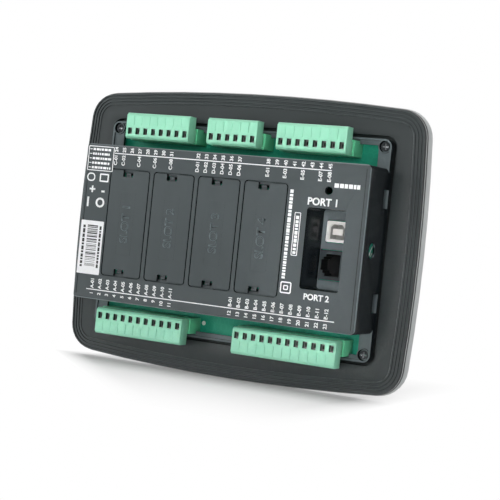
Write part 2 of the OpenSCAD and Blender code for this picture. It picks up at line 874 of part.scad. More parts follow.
// Outside of a header, or with a gap the room that it takes
module header_block(p, gap) {
    along_u(p[0] * pitch + 2 * (fit + header_wall + gap)) translate([-fit - gap, board_top])
        square([header_t + 2 * gap, header_h]);
}

module header(n) {
    p = PLUGS[n];
    color("#3f9a6d") placed() in_row(p) difference() {
        header_block(p, 0);
        along_u(p[0] * pitch + 2 * fit) translate([header_wall - fit, header_bed])
            square([header_t - 2 * header_wall, header_h]);
        slab(board_top - 1, header_bed + 1) at_poles(p) translate([0, pin_a])
            square(pin_s + 2 * snug, center = true);
    }
}

module header_pins() {
    color("#c9c7b8") placed() for (p = PLUGS) at_pins(p)
        slab(board_low - pin_tail, board_top + pin_rise) square(pin_s, center = true);
}

module plug_section() {
    inner = header_wall;
    outer = header_t - header_wall - 2 * fit;
    polygon([[inner, plug_foot], [outer, plug_foot], [outer, plug_low], [plug_h, plug_low],
             [plug_h, plug_top - plug_chamfer], [plug_h - plug_chamfer, plug_top],
             [plug_chamfer, plug_top], [0, plug_top - plug_chamfer], [0, plug_low], [inner, plug_low]]);
}

clamp_w = (wire_bed + plug_top) / 2 - clamp_drop;
contact_gap = 0.4;
groove_from = screw_seat_a - clamp_drop;
groove_to = plug_h - plug_chamfer - groove;

module plug(n) {
    p = PLUGS[n];
    color("#8fdcb4") placed() in_row(p) difference() {
        along_u(p[0] * pitch) plug_section();
        slab(wire_bed, plug_top + 1) at_poles(p) translate([-wire_w / 2, wire_in])
            square([wire_w, wire_h]);
        slab(plug_foot - 1, board_top + pin_rise + fit) at_poles(p) translate([0, pin_a])
            square(pin_s + 2 * contact_gap, center = true);
        at_poles(p) bar_v([0, screw_seat_a, clamp_w], clamp_screw_r + fit, plug_h);
        at_poles(p) bar_v([0, wire_in + wire_h - 1, clamp_w], clamp_screw_r * 0.7, plug_h);
        slab(plug_top - groove, plug_top + 1) for (i = [1:p[0] - 1])
            translate([(i - p[0] / 2) * pitch - groove / 2, groove_from])
                square([groove, groove_to - groove_from]);
    }
}

module plug_screws(n) {
    p = PLUGS[n];
    tip_a = wire_in + wire_h + fit;
    color("#b9bcbc") placed() in_row(p) at_poles(p) difference() {
        union() {
            bar_v([0, screw_seat_a, clamp_w], clamp_screw_r, clamp_head);
            bar_v([0, tip_a, clamp_w], clamp_screw_r * 0.6, screw_seat_a - tip_a + fit);
        }
        translate([0, screw_seat_a + clamp_head, clamp_w])
            cube([3 * clamp_screw_r, clamp_head, clamp_t], center = true);
    }
}

module plug_clamps(n) {
    p = PLUGS[n];
    color("#c3c4be") placed() in_row(p) at_poles(p) slab(wire_bed, clamp_w + clamp_screw_r)
        translate([0, wire_in + wire_h / 2]) difference() {
            square([wire_w - 2 * snug, wire_h - 2 * snug], center = true);
            square([wire_w - 2 * clamp_t, wire_h - 3 * clamp_t], center = true);
        }
}

// Ports
module data_port_shell() {
    color("#d8d6ce") placed() translate([data_u, data_v, 0]) slab(board_top, port_top) difference() {
        rounded(port_w, port_h, 0.8);
        square([port_w - 2 * port_shell, port_h - 2 * port_shell], center = true);
    }
}

// Plug opening of the data port, with two cut corners
module port_mouth(w, h, cut) {
    polygon([[-w / 2, -h / 2], [w / 2, -h / 2], [w / 2, h / 2 - cut], [w / 2 - cut, h / 2],
             [-w / 2 + cut, h / 2], [-w / 2, h / 2 - cut]]);
}

module data_port_insert() {
    mouth_w = 8.6;
    mouth_h = 7.9;
    tongue_w = 5.6;
    tongue_h = 3.2;
    bed = board_top + 1.5;
    rim = 2 * (port_shell + snug);
    color("#f1efe8") placed() translate([data_u, data_v, 0]) {
        difference() {
            slab(board_top, port_top - snug) square([port_w - rim, port_h - rim], center = true);
            slab(bed, port_top + 1) port_mouth(mouth_w, mouth_h, 1.7);
        }
        slab(bed - 1, port_top - 1) square([tongue_w, tongue_h], center = true);
    }
}

jack_bed = board_top + 1.5;
jack_cavity_w = 8.4;
jack_cavity_h = 11.8;
jack_shift = 0.9;
latch_step = 1.3;
latch_narrowing = 3;

// Mouth of the jack: the cavity of the plug and two steps for its latch
module jack_mouth() {
    translate([jack_shift, 0]) square([jack_cavity_w, jack_cavity_h], center = true);
    for (i = [1:2]) translate([jack_shift - i * latch_step, 0])
        square([jack_cavity_w, jack_cavity_h - i * latch_narrowing], center = true);
}

module network_jack() {
    color("#1b1c1e") placed() translate([net_u, net_v, 0]) difference() {
        slab(board_top, port_top) square([jack_w, jack_h], center = true);
        slab(jack_bed, port_top + 1) jack_mouth();
    }
}

module jack_contacts() {
    wires = 8;
    wire_step = 1.02;
    wall_u = jack_shift + jack_cavity_w / 2;
    tip_drop = 3;
    tip_w = port_top - tip_drop;
    reach = 1.6;
    color("#c8a447") placed() translate([net_u + wall_u, net_v, 0]) for (i = [0:wires - 1])
        translate([0, (i - (wires - 1) / 2) * wire_step, 0]) rotate([90, 0, 0])
            linear_extrude(0.45, center = true) polygon([[0, tip_w], [0, jack_bed], [-reach, jack_bed],
                                                         [-reach, jack_bed + 0.5], [-0.6, tip_w]]);
}

// Parts on the board, behind the roof
module on_board(u, v) {
    translate([u, v, board_top]) children();
}

module option_sockets() {
    wall = 1.3;
    color("#26282a") placed() at_options() translate([0, 0, board_top]) difference() {
        linear_extrude(option_socket_h) square([option_socket_w, option_socket_l], center = true);
        translate([0, 0, wall]) linear_extrude(option_socket_h) for (side = [-1, 1])
            translate([side * contact_pitch / 2, 0])
                square([contact_pitch * 0.4, option_socket_l - 2 * wall], center = true);
    }
}

module output_relays() {
    color("#2d5f9a") placed() for (side = [-1, 1])
        on_board(relay_in - body_w / 2, relay_v + side * relay_pitch / 2)
            linear_extrude(relay_h) rounded(relay_w, relay_l, 0.8);
}

module current_sensors() {
    color("#23272b") placed() for (i = [-1:1])
        on_board(i * sensor_pitch, inner_v - sensor_d / 2) difference() {
            linear_extrude(sensor_h) rounded(sensor_w, sensor_d, 1);
            translate([0, 0, 0.75 * sensor_h]) cylinder(r = sensor_hole_r, h = sensor_h);
        }
}

module processor() {
    mark_r = 0.6;
    mark_at = processor_s / 2 - 3 * mark_r;
    color("#222426") placed() on_board(processor_u, chip_row_v) difference() {
        linear_extrude(processor_t) rounded(processor_s, processor_s, 0.4);
        translate([-mark_at, mark_at, processor_t - 0.2]) cylinder(r = mark_r, h = 1);
    }
}

module supply_capacitors() {
    score = 0.5;
    color("#35373b") placed() for (i = [-1:1])
        on_board(capacitor_u + i * capacitor_pitch, capacitor_r - inner_v) difference() {
            cylinder(r = capacitor_r, h = capacitor_h);
            translate([0, 0, capacitor_h]) cube([1.4 * capacitor_r, score, 2 * score], center = true);
            translate([0, 0, capacitor_h]) cube([score, 1.4 * capacitor_r, 2 * score], center = true);
        }
}

module cell_holder() {
    color("#1f2123") placed() on_board(cell_u, chip_row_v) difference() {
        cylinder(r = cell_r + snug + holder_wall, h = holder_wall + cell_t - 0.4);
        translate([0, 0, holder_wall]) cylinder(r = cell_r + snug, h = 2 * cell_t);
        translate([0, cell_r, holder_wall + cell_t])
            cube([0.8 * cell_r, 0.6 * cell_r, cell_t], center = true);
    }
}

module clock_cell() {
    crown = 0.8;
    color("#cfd2d3") placed() on_board(cell_u, chip_row_v) translate([0, 0, holder_wall]) {
        cylinder(r = cell_r, h = cell_t - crown);
        cylinder(r = cell_r - 1.5 * crown, h = cell_t);
    }
}

KEY_COLOURS = ["#b3352f", "#3f9a52", "#d9dcd9", "#d9dcd9", "#c2c7c8", "#c2c7c8", "#c2c7c8", "#c2c7c8"];

front_bezel();
facia_film();
display_pane();
display_rim();
display_glass();
display_backlight();
color(KEY_COLOURS[0]) key(0);  // key_stop
color(KEY_COLOURS[1]) key(1);  // key_run
color(KEY_COLOURS[2]) key(2);  // key_auto
color(KEY_COLOURS[3]) key(3);  // key_test
color(KEY_COLOURS[4]) key(4);  // key_up
color(KEY_COLOURS[5]) key(5);  // key_down
color(KEY_COLOURS[6]) key(6);  // key_left
color(KEY_COLOURS[7]) key(7);  // key_right
key_switches();
status_lights();
mounting_flange();
panel_gasket();
main_board();
side_board();
rear_housing();
option_cover(0);  // option_cover_1
option_cover(1);  // option_cover_2
option_cover(2);  // option_cover_3
option_cover(3);  // option_cover_4
option_sockets();
header(0);  // header_1
header(1);  // header_2
header(2);  // header_3
header(3);  // header_4
header(4);  // header_5
header_pins();
plug(0);  // plug_1
plug(1);  // plug_2
plug(2);  // plug_3
plug(3);  // plug_4
plug(4);  // plug_5
plug_screws(0);  // plug_screws_1
plug_screws(1);  // plug_screws_2
plug_screws(2);  // plug_screws_3
plug_screws(3);  // plug_screws_4
plug_screws(4);  // plug_screws_5
plug_clamps(0);  // plug_clamps_1
plug_clamps(1);  // plug_clamps_2
plug_clamps(2);  // plug_clamps_3
plug_clamps(3);  // plug_clamps_4
plug_clamps(4);  // plug_clamps_5
data_port_shell();
data_port_insert();
network_jack();
jack_contacts();
case_screws();
output_relays();
current_sensors();
processor();
supply_capacitors();
clock_cell();
cell_holder();
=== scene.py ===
# %% [markdown]
# # The back of a generator set controller
# The controller is a flat box that is fixed in a panel, so its display looks one way and its terminals
# the other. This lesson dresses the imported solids: it breaks their edges, prints the terminal numbers,
# sticks the label on and gives every surface a finish. The solids give all sizes and places, and nothing
# here moves them.

import json
import random
from math import atan2, pi, radians

import bpy
from mathutils import Matrix, Vector

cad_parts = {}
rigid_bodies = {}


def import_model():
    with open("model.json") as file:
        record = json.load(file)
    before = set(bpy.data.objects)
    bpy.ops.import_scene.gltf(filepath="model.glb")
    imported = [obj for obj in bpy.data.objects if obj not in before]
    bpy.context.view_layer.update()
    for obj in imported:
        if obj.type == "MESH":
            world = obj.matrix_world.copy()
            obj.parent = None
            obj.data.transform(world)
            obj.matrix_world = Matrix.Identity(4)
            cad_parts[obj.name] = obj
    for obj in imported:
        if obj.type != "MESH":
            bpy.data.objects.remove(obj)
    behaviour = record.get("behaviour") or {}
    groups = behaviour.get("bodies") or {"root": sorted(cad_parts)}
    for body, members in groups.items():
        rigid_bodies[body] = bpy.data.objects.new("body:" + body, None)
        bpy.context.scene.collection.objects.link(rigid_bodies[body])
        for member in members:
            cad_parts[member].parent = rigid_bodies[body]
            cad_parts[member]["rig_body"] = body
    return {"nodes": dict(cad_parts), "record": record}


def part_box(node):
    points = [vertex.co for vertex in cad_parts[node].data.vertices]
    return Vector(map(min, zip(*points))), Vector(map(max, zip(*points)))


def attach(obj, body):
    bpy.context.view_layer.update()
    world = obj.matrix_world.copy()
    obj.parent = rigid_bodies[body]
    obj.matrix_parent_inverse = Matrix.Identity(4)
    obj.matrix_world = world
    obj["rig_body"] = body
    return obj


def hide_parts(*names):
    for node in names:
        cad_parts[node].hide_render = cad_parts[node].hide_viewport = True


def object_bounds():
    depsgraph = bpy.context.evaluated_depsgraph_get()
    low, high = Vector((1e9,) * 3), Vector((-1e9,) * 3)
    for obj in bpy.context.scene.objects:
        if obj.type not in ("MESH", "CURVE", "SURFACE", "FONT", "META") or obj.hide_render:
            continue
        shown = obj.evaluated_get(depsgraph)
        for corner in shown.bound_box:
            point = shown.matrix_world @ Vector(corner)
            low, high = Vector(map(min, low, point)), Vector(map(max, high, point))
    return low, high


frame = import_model()
cad_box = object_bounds()
nodes = frame["nodes"]
bpy.context.scene.view_settings.view_transform = "Standard"
MM = 0.001

# %% [markdown]
# ## Looking at the back
# The picture is taken from behind, almost level, with a long lens. A camera's matrix is three directions
# and a place, so the directions are written down: where the eye lies, and which way is up for it.

# %% Camera
EYE = Vector((-0.3392, 0.6505, 0.0079))
TOWARDS_EYE = Vector((-0.4527, 0.8914, 0.0202)).normalized()
UP_HINT = Vector((0.1007, 0.0286, 0.9945))
LENS_MM = 95.55

camera_data = bpy.data.cameras.new("camera")
camera_data.lens = LENS_MM
camera = bpy.data.objects.new("camera", camera_data)
bpy.context.scene.collection.objects.link(camera)
right = UP_HINT.cross(TOWARDS_EYE).normalized()
up = TOWARDS_EYE.cross(right)
turn = Matrix((right, up, TOWARDS_EYE)).transposed().to_4x4()
camera.matrix_world = Matrix.Translation(EYE) @ turn
bpy.context.scene.camera = camera
print("camera stands", round(EYE.length, 3), "m from the panel")

# %% [markdown]
# ## Shader maths as Python
# A finish is a small sum: a colour that wanders a little, a roughness that follows it, a grain in the
# mould. Wiring each Math node by hand hides that sum, so one class wraps a socket and adds the nodes for
# + - * and /.


# %% Signal: a socket that can be added and multiplied
class Signal:
    """One output socket of a shader tree. Arithmetic on it adds Math nodes to that tree."""

    def __init__(self, tree, socket=None):
        self.tree = tree
        self.socket = socket

    def node(self, kind, settings=None, sockets=None, out=0):
        """Adds a node: its settings first, then the values or links of its sockets."""
        made = self.tree.nodes.new(kind)
        for name, value in (settings or {}).items():
            setattr(made, name, value)
        for name, value in (sockets or {}).items():
            if isinstance(value, Signal):
                self.tree.links.new(value.socket, made.inputs[name])
            else:
                made.inputs[name].default_value = value
        return Signal(self.tree, made.outputs[out])

    def math(self, operation, first, second=0.0, clamp=False):
        """Any operation of the Math node, on two values or Signals."""
        settings = {"operation": operation, "use_clamp": clamp}
        return self.node("ShaderNodeMath", settings, {0: first, 1: second})

    def __add__(self, other):
        return self.math("ADD", self, other)

    def __radd__(self, other):
        return self.math("ADD", other, self)

    def __sub__(self, other):
        return self.math("SUBTRACT", self, other)

    def __rsub__(self, other):
        return self.math("SUBTRACT", other, self)

    def __mul__(self, other):
        return self.math("MULTIPLY", self, other)

    def __rmul__(self, other):
        return self.math("MULTIPLY", other, self)

    def __truediv__(self, other):
        return self.math("DIVIDE", self, other)

    def between(self, low, high):
        """0 below low, 1 above high, and a straight ramp in between."""
        return self.math("DIVIDE", self - low, high - low, clamp=True)

    def tint(self, at_zero, at_one):
        """A colour that goes from one to the other as this value goes from 0 to 1."""
        sockets = {0: self, 6: at_zero, 7: at_one}
        return self.node("ShaderNodeMix", {"data_type": "RGBA"}, sockets, out=2)


# %% Colours are written as the eye sees them
def tone(red, green, blue):
    """A colour on the usual scale of 0 to 255, as the linear values that a shader takes."""
    shares = [c / 255 for c in (red, green, blue)]
    return tuple(s / 12.92 if s <= 0.04045 else ((s + 0.055) / 1.055) ** 2.4 for s in shares) + (1.0,)


def shaded(colour, share):
    """The same colour, lighter or darker."""
    return tuple(min(1.0, c * share) for c in colour[:3]) + (1.0,)


print("mid grey is", round(tone(128, 128, 128)[0], 3))

# %% [markdown]
# ## Moulded plastic
# Most of the controller is injection moulded. The steel of the mould leaves a fine grain, the gloss
# changes a little where the plastic flowed, and the pigment isn't quite even. One function makes all of
# these plastics from a colour, a gloss and the size of the grain.

# %% Material helpers
CLOUD_MM = 18
FLOW_MM = 5
ROUGH_SWING = 0.1
PAINTED_SHADE_SHARE = 0.06


def new_material(name):
    """An empty material, its Principled shader and a Signal to start from."""
    material = bpy.data.materials.new(name)
    material.use_nodes = True
    shader = material.node_tree.nodes["Principled BSDF"]
    return material, shader, Signal(material.node_tree)


def feed(start, shader, name, value):
    """Sets a socket of the shader, or links it where the value changes over the surface."""
    if isinstance(value, Signal):
        start.tree.links.new(value.socket, shader.inputs[name])
    else:
        shader.inputs[name].default_value = value


def noise(start, size_mm, detail=2.0):
    """Soft noise with features of about that size, on the coordinates of the frame."""
    place = start.node("ShaderNodeTexCoord", out="Object")
    sockets = {"Vector": place, "Scale": 1 / (size_mm * MM), "Detail": detail}
    return start.node("ShaderNodeTexNoise", None, sockets)


def grain(start, shader, height, depth_mm):
    """Raises the surface by a height that goes from 0 to 1."""
    sockets = {"Height": height, "Distance": depth_mm * MM, "Strength": 1.0}
    feed(start, shader, "Normal", start.node("ShaderNodeBump", None, sockets))


def plastic(name, colour, rough, grain_mm=0.4, depth_mm=0.006, mottle=0.05, gloss=0.5, painted_shade=None):
    """Moulded plastic of one colour. A painted shade mask gives 1 where shade is painted in near black.
    """
    material, shader, start = new_material(name)
    cloud = noise(start, CLOUD_MM, detail=3)
    tinted = cloud.tint(shaded(colour, 1 - mottle), shaded(colour, 1 + mottle))
    # Where the mask is 1, shade is painted into the colour as near black.
    if painted_shade:
        tinted = painted_shade(start).tint(tinted, shaded(colour, PAINTED_SHADE_SHARE))
    feed(start, shader, "Base Color", tinted)
    flow = ROUGH_SWING * noise(start, FLOW_MM)
    feed(start, shader, "Roughness", rough - ROUGH_SWING / 2 + flow)
    feed(start, shader, "Specular IOR Level", gloss)
    grain(start, shader, noise(start, grain_mm), depth_mm)
    return material


print("plastic drifts in colour over", CLOUD_MM, "mm and in gloss over", FLOW_MM, "mm")

# %% Keys, switches, parts of the board and headers
finishes = {}
finishes["key_red"] = plastic("key_red", tone(176, 48, 42), 0.38)
finishes["key_green"] = plastic("key_green", tone(58, 148, 80), 0.38)
finishes["key_white"] = plastic("key_white", tone(214, 217, 214), 0.38)
finishes["key_grey"] = plastic("key_grey", tone(176, 181, 183), 0.38)
finishes["switch_black"] = plastic("switch_black", tone(40, 40, 42), 0.4)
finishes["relay_blue"] = plastic("relay_blue", tone(44, 92, 150), 0.35)
finishes["part_black"] = plastic("part_black", tone(34, 36, 38), 0.5)
# The headers take the plug green painted darker: a painted shade.
HEADER_SHADED_GREEN = tone(102, 202, 154)
PLUG_GREEN = tone(140, 210, 178)
PLUG_GRAIN = {"grain_mm": 0.6, "depth_mm": 0.003}
finishes["header_green"] = plastic("header_green", HEADER_SHADED_GREEN, 0.36, gloss=0.35, **PLUG_GRAIN)
print("plastics:", sorted(finishes))

# %% [markdown]
# ## Painted shade in mouths and gaps
# The shade in the mouth of the jack, in the wire windows of the plugs and in the gap between the bezel
# and the flange is painted into their colour as near black. A mask in millimetres finds each of them.
# It is the space behind a face. For a plug it is also no wider than a window, and for the bezel it is a
# band next to the flange.

# %% Masks in millimetres
PITCH_MM = 5.08
WINDOW_MM = (2.6, 3.6)
WINDOW_IN = 4.3
WINDOW_DEEP = 0.6
SOFT_MM = 0.2


def axis(start, name):
    """One coordinate of the frame in millimetres, as a Signal."""
    place = start.node("ShaderNodeTexCoord", out="Object")
    return start.node("ShaderNodeSeparateXYZ", None, {"Vector": place}, out=name) * (1 / MM)


def behind(start, face_mm, deep_mm):
    """1 deeper than that behind a face that looks back, and 0 on the face."""
    return 1 - axis(start, "Y").between(face_mm - deep_mm, face_mm - deep_mm / 3)


def poles(plug):
    """The middle of each terminal of a plug along the row, from left to right in the back view."""
    low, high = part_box(f"plug_{plug}")
    count = round((high.x - low.x) / (PITCH_MM * MM))
    return [-high.x / MM + (i + 0.5) * (high.x - low.x) / MM / count for i in range(count)]


def wire_windows(plug):
    """The painted shade of a plug: near black painted inside its wire windows."""
    low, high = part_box(f"plug_{plug}")
    middle = low.z / MM + WINDOW_IN if low.z > 0 else high.z / MM - WINDOW_IN

    def inside(start):
        turn = start.math("FRACT", (axis(start, "X") + poles(plug)[0]) / PITCH_MM + 0.5)
        across = start.math("ABSOLUTE", turn - 0.5) * PITCH_MM
        along = start.math("ABSOLUTE", axis(start, "Z") - middle)
        sides = [1 - d.between(w / 2, w / 2 + SOFT_MM) for d, w in zip((across, along), WINDOW_MM)]
        return sides[0] * sides[1] * behind(start, high.y / MM, WINDOW_DEEP)

    return inside


print("terminals per plug:", [len(poles(plug)) for plug in range(1, 6)])

# %% Bezel, jack, data port and plugs
MOUTH_DEEP = 1.2
TONGUE_MM = 0.9
GAP_SHADE_MM = (-3.3, -3.1)


def port_plastic(name, ring_mm, tongue_mm):
    """The insert of the data port: a pale ring, a white tongue and painted grey shade in the recess round
    it.
    """
    material, shader, start = new_material(name)
    ring = axis(start, "Y").between(tongue_mm + SOFT_MM, ring_mm - SOFT_MM)
    cloud = noise(start, size_mm=3)
    lit = ring.tint(tone(246, 245, 241), tone(232, 232, 228))
    # The recess behind the tongue is painted grey: painted shade.
    deep = behind(start, tongue_mm, MOUTH_DEEP)
    feed(start, shader, "Base Color", deep.tint(lit, tone(150, 150, 146)))
    feed(start, shader, "Roughness", 0.4 + ROUGH_SWING * cloud)
    grain(start, shader, cloud, depth_mm=0.004)
    return material


# A band of the bezel next to the flange is painted near black: a painted shadow in the gap.
finishes["bezel_grey"] = plastic(
    "bezel_grey", tone(184, 188, 188), 0.42, painted_shade=lambda start: axis(start, "Y").between(*GAP_SHADE_MM))
jack_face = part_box("network_jack")[1].y / MM
# The mouth of the jack is painted near black behind its face: painted shade.
finishes["jack_black"] = plastic(
    "jack_black", tone(56, 63, 65), 0.6, gloss=0.08,
    painted_shade=lambda start: behind(start, jack_face, MOUTH_DEEP))
port_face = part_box("data_port_insert")[1].y / MM
finishes["port_white"] = port_plastic("port_white", port_face, port_face - TONGUE_MM)
# The inside of each wire window is painted near black: painted shade.
for plug in range(1, 6):
    finishes[f"plug_{plug}"] = plastic(
        f"plug_green_{plug}", PLUG_GREEN, 0.36, painted_shade=wire_windows(plug), **PLUG_GRAIN)
print("the jack's face lies", round(jack_face, 2), "mm behind the panel")

# %% [markdown]
# ## The two finishes of the dark mouldings
# The faces that look back were spark-eroded in the mould: they have a matt grain that takes print well
# and looks light. The walls between them were polished, so that the part slides out of the mould, and
# they are painted almost black, partly the black plastic and partly painted shade. Both are one moulding,
# so one material goes from the polished finish to the matt one with the direction of the surface: the Y
# of its normal is 1 on a face that looks back. Faces that look back at heights between the well and the
# platform get the painted shade of the walls, and low faces get painted light. Where the normal is in
# between, the surface is a broken edge with a painted highlight. The outermost walls of the flange get a
# painted highlight too, a bright line beside the bezel.

# %% One moulding with two finishes
PAD_LEVEL = 2.5 * MM
WELL_LEVEL = 5.0 * MM
PLATFORM_LEVEL = 24 * MM
STEP = 0.6 * MM
RIM_HIGHLIGHT_MM = ((94, 96), (66, 68))
MATT_TURN = (0.35, 0.85)
HIGHLIGHT_STARTS = (0.45, 0.6)
HIGHLIGHT_ENDS = (0.8, 0.92)
POLISHED = 0.2
MATT_MOTTLE = 0.05
PAINTED_LIGHT_LOW = 2.4
HIGHLIGHT_LIGHTER = 3


def dark_moulding(name, matt_colour, wall_colour, matt_rough, grain_depth_mm,
                  painted_light_share=0.0, highlight_share=0.0, rim_highlight=None):
    """Black plastic with matt rear faces and polished walls, the walls painted darker, partly painted
    shade.

    The shares set painted light on low faces and a painted highlight on broken edges. With a colour for
    the outermost walls, they get it as a painted highlight.
    """
    material, shader, start = new_material(name)
    feed(start, shader, "Specular IOR Level", 0.4)
    normal = start.node("ShaderNodeTexCoord", out="Normal")
    back = start.node("ShaderNodeSeparateXYZ", None, {"Vector": normal}, out="Y")
    matt = back.between(*MATT_TURN)
    # Broken edges, between the two turns of the normal, get a painted highlight.
    edge_highlight = back.between(*HIGHLIGHT_STARTS) * (1 - back.between(*HIGHLIGHT_ENDS))
    place = start.node("ShaderNodeTexCoord", out="Object")
    height = start.node("ShaderNodeSeparateXYZ", None, {"Vector": place}, out="Y")
    # Faces that look back between the well and the platform take the wall colour: painted shade.
    painted_shade_band = height.between(WELL_LEVEL + STEP, WELL_LEVEL + 2 * STEP)
    matt = matt * (1 - painted_shade_band * (1 - height.between(PLATFORM_LEVEL - STEP, PLATFORM_LEVEL)))
    # Low faces, up to the well floor, are painted lighter: painted light.
    low = (painted_light_share + (1 - painted_light_share) * height.between(PAD_LEVEL, WELL_LEVEL)) * (1 - painted_shade_band)
    cloud = noise(start, size_mm=22, detail=3)
    face = cloud.tint(shaded(matt_colour, 1 - MATT_MOTTLE), shaded(matt_colour, 1 + MATT_MOTTLE))
    if painted_light_share:
        face = low.tint(face, shaded(matt_colour, PAINTED_LIGHT_LOW))
    # The outermost walls get a light colour: a painted highlight.
    if rim_highlight:
        sides = [start.math("ABSOLUTE", axis(start, letter)) for letter in "XZ"]
        outside = start.math("MAXIMUM", *[side.between(*span) for side, span in zip(sides, RIM_HIGHLIGHT_MM)])
        wall_colour = outside.tint(wall_colour, rim_highlight)
    # The walls are painted near black: partly the plastic, partly painted shade.
    colour = matt.tint(wall_colour, face)
    # This lighter colour is the painted highlight of the broken edges.
    painted_highlight = shaded(matt_colour, HIGHLIGHT_LIGHTER)
    feed(start, shader, "Base Color", (edge_highlight * highlight_share).tint(colour, painted_highlight))
    rough = POLISHED + (matt_rough - POLISHED) * matt
    feed(start, shader, "Roughness", rough + 0.06 * noise(start, size_mm=6))
    grain(start, shader, noise(start, size_mm=0.45) * matt, grain_depth_mm)
    return material


print("a face turns matt between", MATT_TURN, "of its normal")

# %% Housing, flange and gasket
# The wall colour is painted near black, partly painted shade.
WALL_BLACK_AND_SHADE = tone(22, 27, 30)
MATT_BLACK = tone(59, 67, 69)
# The housing gets painted light on low faces and a painted highlight on its broken edges.
finishes["housing_black"] = dark_moulding(
    "housing_black", MATT_BLACK, WALL_BLACK_AND_SHADE, 0.55, grain_depth_mm=0.012, painted_light_share=0.7, highlight_share=0.8)
# The flange's outermost walls get a light colour as a painted highlight.
finishes["flange_black"] = dark_moulding(
    "flange_black", tone(39, 46, 47), WALL_BLACK_AND_SHADE, 0.5, grain_depth_mm=0.01, rim_highlight=tone(206, 209, 209))
# The gasket's walls are painted darker still: painted shade.
finishes["gasket_rubber"] = dark_moulding(
    "gasket_rubber", tone(50, 57, 58), tone(10, 12, 13), 0.5, grain_depth_mm=0.006)
print("dark mouldings made")

# %% [markdown]
# ## Metals
# Tinned pins, zinc-plated clamp screws, the nickel shell of the data port and the gold of the jack's
# contacts are metals. A metal has no colour of its own under the shine, so its colour is the tint of what
# it mirrors. The fine scratches of the plating are noise with a lot of detail. The nickel shell is
# painted near white and mostly diffuse, a painted reflection. The case screws are black, and their recess
# gets a painted glint of lighter steel.


# %% Metal finishes
def metal(name, colour, rough, scratch_mm=0.2, share=1.0):
    """Plated metal. A share below 1 is a dull plating that also scatters light."""
    material, shader, start = new_material(name)
    shader.inputs["Metallic"].default_value = share
    scratches = noise(start, scratch_mm, detail=4)
    feed(start, shader, "Base Color", scratches.tint(shaded(colour, 0.88), colour))
    feed(start, shader, "Roughness", rough + 0.15 * scratches)
    grain(start, shader, scratches, depth_mm=0.002)
    return material


finishes["tin"] = metal("tin", tone(130, 133, 128), 0.34)
finishes["zinc"] = metal("zinc", tone(196, 199, 200), 0.3)
# The nickel shell is painted near white and mostly diffuse: a painted reflection of the white around it.
finishes["port_metal"] = metal("port_metal", tone(250, 250, 248), 0.38, share=0.15)
finishes["contact_gold"] = metal("contact_gold", tone(222, 184, 90), 0.22)
finishes["display_rim"] = metal("display_rim", tone(160, 165, 168), 0.35)
finishes["cell_steel"] = metal("cell_steel", tone(205, 208, 209), 0.25)
finishes["capacitor_can"] = metal("capacitor_can", tone(70, 74, 82), 0.4)
print("metals made, now", len(finishes), "finishes")

# %% Case screws
RECESS_DEEP = 0.9


def screw_metal(name, face_mm):
    """Blackened steel, with a painted glint in the recess where the driver turns."""
    material, shader, start = new_material(name)
    shader.inputs["Metallic"].default_value = 1.0
    # The recess is painted lighter: a painted glint.
    painted_highlight = behind(start, face_mm, RECESS_DEEP) * (0.7 + 0.3 * noise(start, size_mm=0.6))
    feed(start, shader, "Base Color", painted_highlight.tint(tone(50, 53, 55), tone(116, 120, 122)))
    feed(start, shader, "Roughness", 0.3 - 0.1 * painted_highlight)
    grain(start, shader, noise(start, size_mm=0.3), depth_mm=0.003)
    return material


screw_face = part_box("case_screws")[1].y / MM
finishes["screw_black"] = screw_metal("screw_black", screw_face)
print("the screw heads lie at", round(screw_face, 2), "mm")

# %% [markdown]
# ## Circuit board
# Through the troughs and the hole in the side, the green board shows. Its copper tracks lie under the
# green lacquer and look like slightly lighter lines. The borders between the cells of a Voronoi pattern
# give such a net of tracks without drawing any of them.

# %% Board
TRACK_MM = 3.2
TRACK_EDGE = (0.06, 0.1)


def board_lacquer(name):
    """Green lacquer over a net of slightly raised tracks."""
    material, shader, start = new_material(name)
    place = start.node("ShaderNodeTexCoord", out="Object")
    cells = {"Vector": place, "Scale": 1 / (TRACK_MM * MM)}
    kind = {"feature": "DISTANCE_TO_EDGE"}
    border = start.node("ShaderNodeTexVoronoi", kind, cells, out="Distance")
    track = 1 - border.between(*TRACK_EDGE)
    feed(start, shader, "Base Color", track.tint(tone(24, 146, 116), tone(29, 151, 121)))
    feed(start, shader, "Roughness", 0.4 + ROUGH_SWING * noise(start, size_mm=4))
    feed(start, shader, "Specular IOR Level", 0.2)
    grain(start, shader, track, depth_mm=0.015)
    return material


finishes["board_green"] = board_lacquer("board_green")
print("tracks lie about", TRACK_MM, "mm apart")

# %% [markdown]
# ## Film, display and lights
# The front is a printed film with a clear window in it, and small light pipes bring the status lights to
# its face. A film is a plastic with hardly any grain, so it takes the plastic function. The clear pieces
# let light through, and a milky one scatters most of it.

# %% Front finishes
ACRYLIC_IOR = 1.49


def film(name, colour, rough):
    """Printed plastic film with a very fine satin texture."""
    return plastic(name, colour, rough, grain_mm=0.25, depth_mm=0.003, mottle=0.03)


def clear(name, colour, rough, through=1.0):
    """Clear plastic that light goes through. A share below 1 is milky."""
    material, shader, start = new_material(name)
    shader.inputs["Transmission Weight"].default_value = through
    shader.inputs["IOR"].default_value = ACRYLIC_IOR
    feed(start, shader, "Base Color", noise(start, size_mm=30).tint(shaded(colour, 0.98), colour))
    feed(start, shader, "Roughness", rough + 0.02 * noise(start, size_mm=2))
    return material


finishes["facia_film"] = film("facia_film", tone(44, 48, 54), 0.42)
finishes["window_pane"] = clear("window_pane", tone(238, 243, 244), 0.03)
finishes["display_glass"] = film("display_glass", tone(140, 156, 132), 0.2)
finishes["backlight"] = plastic("backlight", tone(228, 228, 220), 0.5)
finishes["light_pipe"] = clear("light_pipe", tone(226, 230, 224), 0.3, through=0.2)
print("finishes made:", len(finishes))

